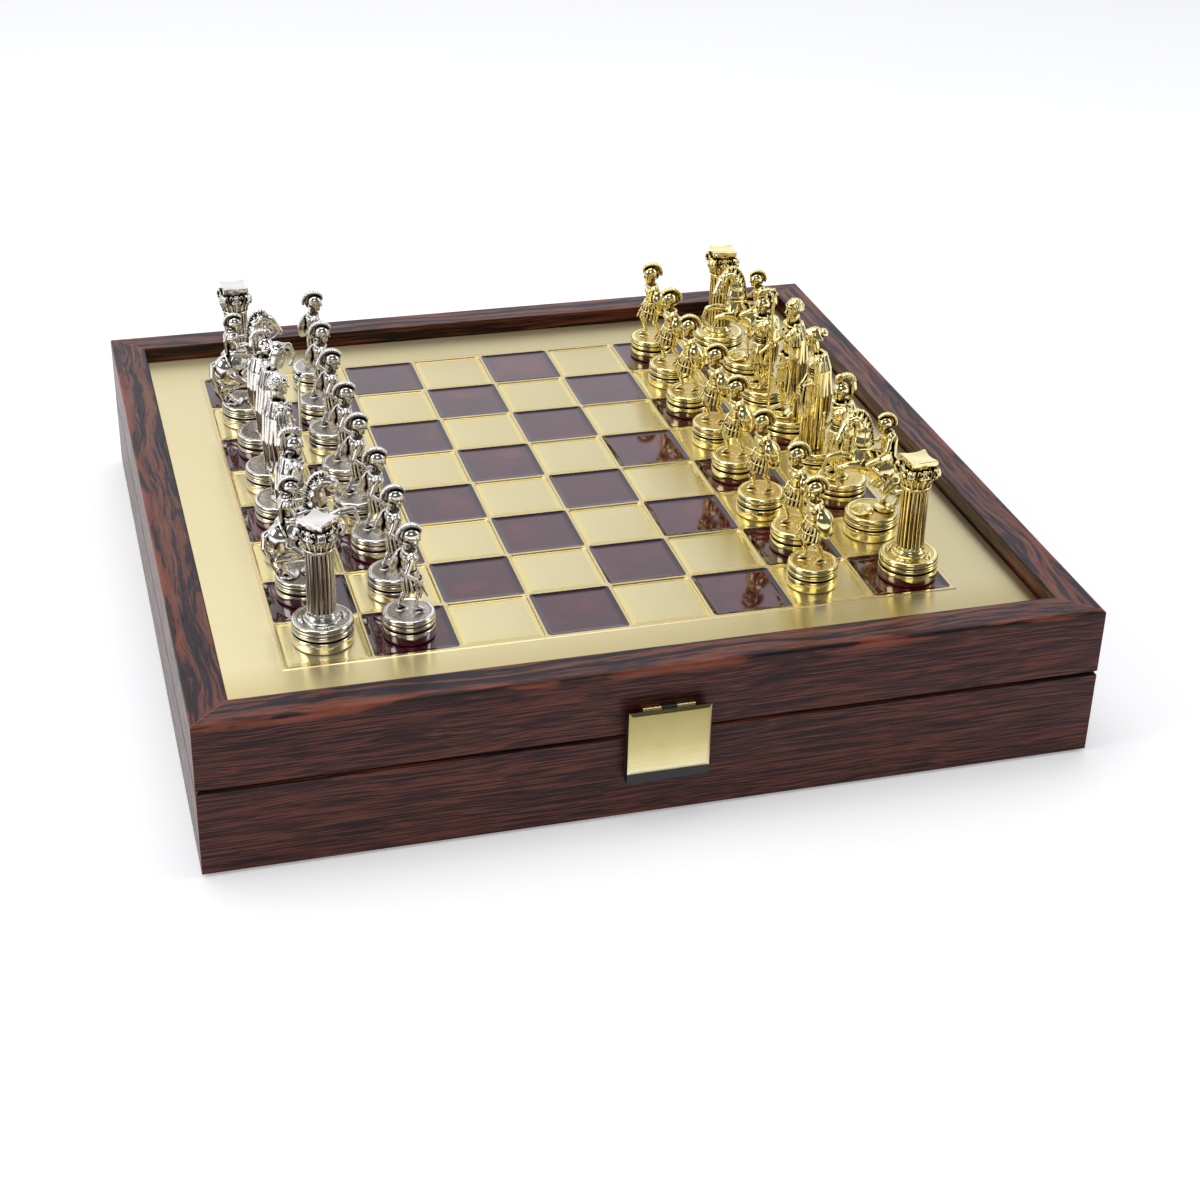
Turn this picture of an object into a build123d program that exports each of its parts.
from build123d import *
import os

# Chess storage case with its board set into the lid and a full set of cast
# metal chessmen standing on it. Millimetres. +Z up, +X to the right, +Y to
# the rear. Origin: centre of the case's underside.

os.makedirs("parts", exist_ok=True)

# ---------------------------------------------------------------- dimensions
case_w = 270.0          # outside width and depth of base and lid
wall_t = 11.5           # wall and rail thickness
pad_t = 0.8             # felt sheet under the base
base_top = 28.0         # top of the base walls
seam_gap = 0.3          # air between base walls and lid rails
lid_low = base_top + seam_gap
case_top = 49.7         # top of the lid rails
edge_round = 1.0        # round on the lid's outer top edge
seam_bevel = 0.6        # small bevel on both sides of the seam

panel_t = 3.5           # bottom panel and lid panel
rebate = 5.0            # the bottom panel's rebate in the base walls
groove = 4.0            # the lid panel's groove in the lid rails
recess = 5.15           # depth of the board's raised lines below the lid's top
line_top = case_top - recess
plate_t = 1.25          # brass board sheet over its raised lines
pocket = 0.35           # the squares lie this much below the raised lines
enamel_t = 0.4          # enamel in the dark squares
square = 25.63          # pitch of the squares
line_w = 1.2            # width of the raised lines
grid_x = -2.35          # the grid sits a little left of the case's centre
grid_y = 0.0
plate_w = 245.8

liner_t = 1.5           # felt on the base's floor
lid_liner_t = 1.2       # felt under the lid panel
divider_t = 6.0
divider_top = 25.0

# rear butt hinges
hinge_x = 75.0
hinge_y = case_w / 2 + 1.9
hinge_z = base_top + seam_gap / 2
leaf_t = 0.8
leaf_len = 28.0
leaf_deep = 9.0
knuckle_r = 1.7
hinge_pin_r = 0.75
screw_head_r = 1.5
screw_shank_r = 0.7
screw_len = 6.0
screw_dx = 9.0
screw_inset = 4.6       # screw centres in from the rear face

# front clasp: a flap hung on a bracket on the lid, held by a magnet
clasp_x = -1.3
clasp_w = 24.6
clasp_axis_y = -case_w / 2 - 2.0
clasp_axis_z = 37.2
clasp_knuckle_r = 1.1
clasp_pin_r = 0.5
clasp_knuckle = 2.2     # half length of the flap's knuckle
bracket_half = 7.8
flap_back = -case_w / 2 - 0.8
flap_front = -case_w / 2 - 4.0
face_front = -case_w / 2 - 4.8
flap_low = 14.2
flap_high = 35.4
face_low = 17.4
face_high = 38.2
magnet_z = 21.0
magnet_r = 3.5
magnet_t = 2.0

# chessmen
man_gap = 0.02
base_h = 8.0
base_r = {"rook": 9.15, "knight": 8.6, "bishop": 8.6, "queen": 8.8, "king": 9.0, "pawn": 7.85}
tall = {"rook": 40.2, "knight": 42.6, "bishop": 47.0, "queen": 51.4, "king": 54.2, "pawn": 36.7}

silver_back = [
    ("rook_1", "rook", -91.9, -89.1), ("knight_1", "knight", -93.2, -61.5),
    ("bishop_1", "bishop", -93.3, -37.5), ("king", "king", -92.2, -11.4),
    ("queen", "queen", -92.1, 13.1), ("bishop_2", "bishop", -91.6, 39.6),
    ("knight_2", "knight", -93.6, 65.3), ("rook_2", "rook", -92.8, 92.0),
]
silver_pawns = [
    (-66.9, -91.0), (-66.8, -66.0), (-67.4, -39.9), (-68.6, -14.3),
    (-68.4, 10.2), (-68.4, 37.6), (-68.1, 61.6), (-66.2, 89.8),
]
gold_pawns = [
    (58.9, -89.3), (61.7, -65.9), (59.1, -40.7), (59.3, -13.6),
    (60.9, 13.1), (59.7, 39.5), (60.7, 64.8), (61.2, 90.2),
]
gold_back = [
    ("rook_1", "rook", 89.8, -90.8), ("knight_1", "knight", 88.9, -61.9),
    ("bishop_1", "bishop", 88.1, -36.9), ("queen", "queen", 88.2, -12.8),
    ("king", "king", 87.8, 13.0), ("bishop_2", "bishop", 87.6, 38.0),
    ("knight_2", "knight", 89.5, 63.5), ("rook_2", "rook", 87.4, 89.7),
]

half = case_w / 2
inner = half - wall_t
written = {}


def save(name, shape):
    solids = shape.solids()
    out = solids[0] if len(solids) == 1 else Compound(children=list(solids))
    out.label = name
    export_step(out, "parts/" + name + ".step")
    written[name] = sum(s.volume for s in solids)


def box(x0, x1, y0, y1, z0, z1):
    return Pos((x0 + x1) / 2, (y0 + y1) / 2, (z0 + z1) / 2) * Box(x1 - x0, y1 - y0, z1 - z0)


def prism_yz(points, x0, x1):
    # polygon of (y, z) pushed along X
    wire = Polyline(*[(x0, y, z) for y, z in points], close=True)
    return extrude(make_face(wire), amount=x1 - x0, dir=(1, 0, 0))


def cyl_x(x0, x1, y, z, r):
    return Pos((x0 + x1) / 2, y, z) * Rot(0, 90, 0) * Cylinder(r, x1 - x0)


def mitred(profile_face_solid, side):
    # side 0 front, 1 right, 2 rear, 3 left: the front piece is made, cut to
    # its mitres and turned about the case's centre
    trapezoid = extrude(
        make_face(Polyline((-half, -half, 0), (half, -half, 0), (inner, -inner, 0), (-inner, -inner, 0), close=True)),
        amount=60,
        dir=(0, 0, 1),
    )
    piece = profile_face_solid & trapezoid
    return Rot(0, 0, 90 * side) * piece


# ------------------------------------------------------------ fasteners
def wood_screw(x, y, z, down, axis="z"):
    # countersunk screw: head's flat at z, shank into the wood
    head = Pos(0, 0, -leaf_t / 2) * Cone(screw_shank_r, screw_head_r, leaf_t)
    shank = Pos(0, 0, -leaf_t - (screw_len - leaf_t) / 2) * Cylinder(screw_shank_r, screw_len - leaf_t)
    tip = Pos(0, 0, -screw_len - 0.6) * Cone(0.15, screw_shank_r, 1.2)
    body = head + shank + tip
    if axis == "y":
        # head faces -Y, shank runs towards +Y
        return Pos(x, y, z) * Rot(90, 0, 0) * body
    return Pos(x, y, z) * (body if down else Rot(180, 0, 0) * body)


base_screws = []
lid_screws = []
for hx in (-hinge_x, hinge_x):
    for dx in (-screw_dx, screw_dx):
        base_screws.append(wood_screw(hx + dx, half - screw_inset, base_top, True))
        lid_screws.append(wood_screw(hx + dx, half - screw_inset, lid_low, False))

bracket_t = 0.5
clasp_screw_list = []
for dx in (-5.2, 5.2):
    small = Pos(0, 0, -bracket_t / 2) * Cone(0.7, 1.2, bracket_t)
    small = small + Pos(0, 0, -bracket_t - 2.75) * Cylinder(0.7, 5.5)
    clasp_screw_list.append(Pos(clasp_x + dx, -half - bracket_t, 33.2) * Rot(90, 0, 0) * small)

# ------------------------------------------------------------ base
base_profile = [
    (-half, pad_t), (-half + wall_t - rebate, pad_t),
    (-half + wall_t - rebate, pad_t + panel_t), (-half + wall_t, pad_t + panel_t),
    (-half + wall_t, base_top), (-half + seam_bevel, base_top), (-half, base_top - seam_bevel),
]
base_wall = prism_yz(base_profile, -half, half)
base_walls = [mitred(base_wall, k) for k in range(4)]

strike = box(clasp_x - 8, clasp_x + 8, -half, -half + 1.0, magnet_z - 5, magnet_z + 5)
base_walls[0] = base_walls[0] - strike

mortises = []
for hx in (-hinge_x, hinge_x):
    mortises.append(box(hx - leaf_len / 2, hx + leaf_len / 2, half - leaf_deep, half + 1, base_top - leaf_t, base_top + 1))
for m in mortises + base_screws:
    base_walls[2] = base_walls[2] - m

for name, piece in zip(("base_front_wall", "base_right_wall", "base_rear_wall", "base_left_wall"), base_walls):
    save(name, piece)

panel_half = half - wall_t + rebate
save("base_bottom_panel", box(-panel_half, panel_half, -panel_half, panel_half, pad_t, pad_t + panel_t))
save("underside_felt", box(-half + 2, half - 2, -half + 2, half - 2, 0, pad_t))
floor_z = pad_t + panel_t
save("base_felt_liner", box(-inner + 0.2, inner - 0.2, -inner + 0.2, inner - 0.2, floor_z, floor_z + liner_t))
divider = box(-divider_t / 2, divider_t / 2, -inner + 0.2, inner - 0.2, floor_z + liner_t, divider_top)
divider = fillet(divider.edges().filter_by(Axis.Y).group_by(Axis.Z)[-1], 1.5)
save("centre_divider", divider)
save("clasp_strike", strike)

# ------------------------------------------------------------ lid
low, top = lid_low, case_top
groove_low = line_top - plate_t - panel_t
groove_high = line_top - plate_t
with BuildSketch(Plane.YZ) as rail_sketch:
    with BuildLine():
        Polyline(
            (-half + edge_round, top), (-half + wall_t - 0.3, top), (-half + wall_t, top - 0.3),
            (-half + wall_t, groove_high), (-half + wall_t - groove, groove_high),
            (-half + wall_t - groove, groove_low), (-half + wall_t, groove_low),
            (-half + wall_t, low), (-half + seam_bevel, low), (-half, low + seam_bevel),
            (-half, top - edge_round),
        )
        ThreePointArc(
            (-half, top - edge_round),
            (-half + edge_round * (1 - 0.70710678), top - edge_round * (1 - 0.70710678)),
            (-half + edge_round, top),
        )
    make_face()
rail = Pos(-half, 0, 0) * extrude(rail_sketch.sketch, amount=case_w)
lid_rails = [mitred(rail, k) for k in range(4)]
lid_mortises = []
for hx in (-hinge_x, hinge_x):
    lid_mortises.append(box(hx - leaf_len / 2, hx + leaf_len / 2, half - leaf_deep, half + 1, low - 1, low + leaf_t))
for m in lid_mortises + lid_screws:
    lid_rails[2] = lid_rails[2] - m
for s in clasp_screw_list:
    lid_rails[0] = lid_rails[0] - s
for name, piece in zip(("lid_front_rail", "lid_right_rail", "lid_rear_rail", "lid_left_rail"), lid_rails):
    save(name, piece)

lid_panel_half = inner + groove
save("lid_panel", box(-lid_panel_half, lid_panel_half, -lid_panel_half, lid_panel_half, groove_low, groove_high))
save("lid_felt_liner", box(-inner + 0.3, inner - 0.3, -inner + 0.3, inner - 0.3, groove_low - lid_liner_t, groove_low))

# brass board: raised lines stand between the squares' pockets
plate = box(-plate_w / 2, plate_w / 2, -plate_w / 2, plate_w / 2, groove_high, line_top)
border_drop = 0.25
frame_out = 4 * square + 1.0
outer_pocket = box(-plate_w / 2, plate_w / 2, -plate_w / 2, plate_w / 2, line_top - border_drop, line_top + 1)
outer_pocket = outer_pocket - box(
    grid_x - frame_out, grid_x + frame_out, grid_y - frame_out, grid_y + frame_out,
    line_top - 2, line_top + 2,
)
plate = plate - outer_pocket
side = square - line_w
light, dark, enamel = [], [], []
for i in range(8):
    for j in range(8):
        cx = grid_x + (i - 3.5) * square
        cy = grid_y + (j - 3.5) * square
        h = side / 2
        if (i + j) % 2:
            dark.append(box(cx - h, cx + h, cy - h, cy + h, line_top - pocket - enamel_t, line_top + 1))
            e = h - 0.02
            enamel.append(box(cx - e, cx + e, cy - e, cy + e, line_top - pocket - enamel_t, line_top - pocket))
        else:
            light.append(box(cx - h, cx + h, cy - h, cy + h, line_top - pocket, line_top + 1))
plate = plate - Compound(children=light + dark)
save("board_plate", plate)
save("board_enamel_squares", Compound(children=enamel))

# ------------------------------------------------------------ hinges
base_leaves, lid_leaves, pins = [], [], []
knuckle_half = 4.8
for hx in (-hinge_x, hinge_x):
    reach = half - leaf_deep
    lower = box(hx - leaf_len / 2, hx + leaf_len / 2, reach, half, base_top - leaf_t, base_top)
    for a, b in ((-leaf_len / 2, -knuckle_half - 0.2), (knuckle_half + 0.2, leaf_len / 2)):
        lower = lower + box(hx + a, hx + b, half - 1, hinge_y, base_top - leaf_t, base_top)
        lower = lower + cyl_x(hx + a, hx + b, hinge_y, hinge_z, knuckle_r)
    lower = lower - cyl_x(hx - 20, hx + 20, hinge_y, hinge_z, hinge_pin_r)
    upper = box(hx - leaf_len / 2, hx + leaf_len / 2, reach, half, low, low + leaf_t)
    upper = upper + box(hx - knuckle_half, hx + knuckle_half, half - 1, hinge_y, low, low + leaf_t)
    upper = upper + cyl_x(hx - knuckle_half, hx + knuckle_half, hinge_y, hinge_z, knuckle_r)
    upper = upper - cyl_x(hx - 20, hx + 20, hinge_y, hinge_z, hinge_pin_r + 0.05)
    for s in base_screws:
        lower = lower - s
    for s in lid_screws:
        upper = upper - s
    base_leaves.append(lower.solids()[0])
    lid_leaves.append(upper.solids()[0])
    pins.append(cyl_x(hx - leaf_len / 2 - 0.4, hx + leaf_len / 2 + 0.4, hinge_y, hinge_z, hinge_pin_r).solids()[0])
save("hinge_base_leaves", Compound(children=base_leaves))
save("hinge_lid_leaves", Compound(children=lid_leaves))
save("hinge_pins", Compound(children=pins))
save("hinge_screws_base", Compound(children=[s.solids()[0] for s in base_screws]))
save("hinge_screws_lid", Compound(children=[s.solids()[0] for s in lid_screws]))

# ------------------------------------------------------------ clasp
cw = clasp_w / 2
ck = clasp_knuckle
bracket = box(clasp_x - bracket_half, clasp_x + bracket_half, -half - bracket_t, -half, 30.5, clasp_axis_z + clasp_knuckle_r)
for a, b in ((-bracket_half, -ck - 0.2), (ck + 0.2, bracket_half)):
    bracket = bracket + box(clasp_x + a, clasp_x + b, clasp_axis_y, -half, clasp_axis_z + clasp_knuckle_r - 0.5, clasp_axis_z + clasp_knuckle_r)
    bracket = bracket + cyl_x(clasp_x + a, clasp_x + b, clasp_axis_y, clasp_axis_z, clasp_knuckle_r)
bracket = bracket - cyl_x(clasp_x - 20, clasp_x + 20, clasp_axis_y, clasp_axis_z, clasp_pin_r)
for s in clasp_screw_list:
    bracket = bracket - s
save("clasp_bracket", bracket)
save("clasp_screws", Compound(children=[s.solids()[0] for s in clasp_screw_list]))
save("clasp_pin", cyl_x(clasp_x - bracket_half, clasp_x + bracket_half, clasp_axis_y, clasp_axis_z, clasp_pin_r))

flap = box(clasp_x - cw, clasp_x + cw, flap_front, flap_back, flap_low, flap_high)
flap = flap + box(clasp_x - ck, clasp_x + ck, clasp_axis_y - clasp_knuckle_r, clasp_axis_y + clasp_knuckle_r, flap_high - 1, clasp_axis_z)
flap = flap + cyl_x(clasp_x - ck, clasp_x + ck, clasp_axis_y, clasp_axis_z, clasp_knuckle_r)
flap = flap - cyl_x(clasp_x - 20, clasp_x + 20, clasp_axis_y, clasp_axis_z, clasp_pin_r + 0.05)
magnet = Pos(clasp_x, flap_back - magnet_t / 2, magnet_z) * Rot(90, 0, 0) * Cylinder(magnet_r, magnet_t)
flap = flap - magnet
save("clasp_flap", flap)
save("clasp_magnet", magnet)
face = box(clasp_x - cw, clasp_x + cw, face_front, flap_front, face_low, face_high)
face = chamfer(face.faces().sort_by(Axis.Y)[0].edges(), 0.35)
save("clasp_faceplate", face)


# ------------------------------------------------------------ chessmen
def base_points(r):
    # turned base: lower drum, dark groove, two rings, dished top
    return [
        (0, 0), (r - 0.5, 0), (r - 0.15, 0.4), (r, 3.6), (r - 0.9, 3.8), (r - 0.9, 4.2),
        (r - 0.1, 4.35), (r, 5.0), (r - 0.15, 5.7), (r - 0.5, 5.85), (r - 0.15, 6.0), (r - 0.1, 6.9),
        (r - 0.35, 7.6), (r - 0.9, base_h),
    ]


def turned(points):
    wire = Polyline(*[(x, 0, z) for x, z in points], close=True)
    return revolve(make_face(wire), Axis.Z, 360)


def standing(r, h, girth):
    # figure: legs or robe, hips, waist, chest, neck, head and crest
    k = (h - base_h) / 27.0
    rise = [
        (3.0, 0), (2.9, 6), (4.0, 7), (3.8, 10), (3.0, 12), (4.1, 16.5), (3.2, 18.6),
        (1.5, 19.3), (1.5, 20), (2.6, 21), (2.8, 23), (2.4, 25), (0.9, 27), (0, 27),
    ]
    return turned(base_points(r) + [(a * girth, base_h + b * k) for a, b in rise])


def robed(r, h):
    k = (h - base_h) / 45.0
    rise = [
        (5.6, 0), (5.2, 6), (4.3, 18), (4.1, 26), (4.7, 31), (4.0, 35.5), (1.7, 37),
        (1.7, 38), (2.9, 39.5), (3.1, 42), (1.8, 45), (0, 45),
    ]
    return turned(base_points(r) + [(a, base_h + b * k) for a, b in rise])


def column(r, h):
    rise = [
        (5.0, base_h), (5.0, base_h + 0.8), (4.25, base_h + 1.2), (4.0, h - 10.6), (4.6, h - 10.4),
        (4.6, h - 9.6), (4.2, h - 9.4), (4.4, h - 7), (5.4, h - 4.6), (4.6, h - 2.4), (0, h - 2.4),
    ]
    post = turned(base_points(r) + rise)
    slab = Pos(0, 0, h - 1.3) * Box(9.6, 9.6, 2.6)
    return post + slab


def rod(a, b, r):
    # round bar from point a to point b
    line = Line(a, b)
    return sweep(Plane(a, z_dir=line % 0) * Circle(r), path=line)


def limb(points):
    # rounded bars through (x, y, z above the base, radius)
    out = None
    for a, b in zip(points, points[1:]):
        p, q = (a[0], a[1], base_h + a[2]), (b[0], b[1], base_h + b[2])
        r = min(a[3], b[3])
        piece = rod(p, q, r) + Pos(*p) * Sphere(a[3]) + Pos(*q) * Sphere(b[3])
        out = piece if out is None else out + piece
    return out


def rider(r, h):
    # rearing horse facing +X with its rider
    out = turned(base_points(r) + [(0, base_h)])
    out = out + limb([(-6.2, 0.2, 12.6, 4.2), (5.0, -0.5, 17.6, 3.6)])
    out = out + limb([(3.8, -0.9, 20.5, 3.0), (6.2, -2.9, 29.0, 2.2), (12.4, -2.1, 25.0, 1.2)])
    out = out + limb([(6.0, -1.7, 18.3, 1.8), (15.2, -1.1, 19.6, 1.0), (16.0, -1.9, 15.8, 0.8)])
    out = out + limb([(6.0, 1.2, 16.8, 1.8), (12.8, 1.4, 17.4, 1.0), (13.2, 1.4, 13.8, 0.8)])
    for y in (-2.2, 2.4):
        out = out + limb([(-6.0, y, 10.5, 2.4), (-8.2, y, 5.8, 1.2), (-5.0, y, 0.8, 1.0)])
    out = out + Pos(-2.9, -0.8, base_h + 22.5) * Cylinder(3.2, 11.0)
    out = out + Pos(-1.9, -1.1, base_h + 29.3) * Sphere(2.5)
    out = out + Pos(-2.4, -1.1, h - 4.0) * Box(5.4, 1.8, 8.0)
    return out


def ruler(r, h):
    # standing figure with a tall staff in the right hand
    figure = standing(r, h, 1.4)
    staff = rod((3.6, -6.3, base_h - 0.8), (5.4, -5.6, h - 1.0), 0.6)
    arm = rod((0.6, -2.5, 33.5), (4.3, -6.0, 32.5), 1.2)
    return figure + staff + arm


shapes = {
    "rook": column(base_r["rook"], tall["rook"]),
    "knight": rider(base_r["knight"], tall["knight"]),
    "bishop": standing(base_r["bishop"], tall["bishop"], 1.18),
    "queen": robed(base_r["queen"], tall["queen"]),
    "king": ruler(base_r["king"], tall["king"]),
    "pawn": standing(base_r["pawn"], tall["pawn"], 1.0),
}
stand_z = line_top - pocket + man_gap

men = []
for name, kind, x, y in silver_back:
    men.append(("silver_" + name, kind, x, y, 0))
for n, (x, y) in enumerate(silver_pawns):
    men.append(("silver_pawn_%d" % (n + 1), "pawn", x, y, 0))
for name, kind, x, y in gold_back:
    men.append(("gold_" + name, kind, x, y, 180))
for n, (x, y) in enumerate(gold_pawns):
    men.append(("gold_pawn_%d" % (n + 1), "pawn", x, y, 180))
for name, kind, x, y, turn in men:
    save(name, Pos(x, y, stand_z) * Rot(0, 0, turn) * shapes[kind])

print(len(written), "nodes")
for name, volume in written.items():
    print(name, round(volume))
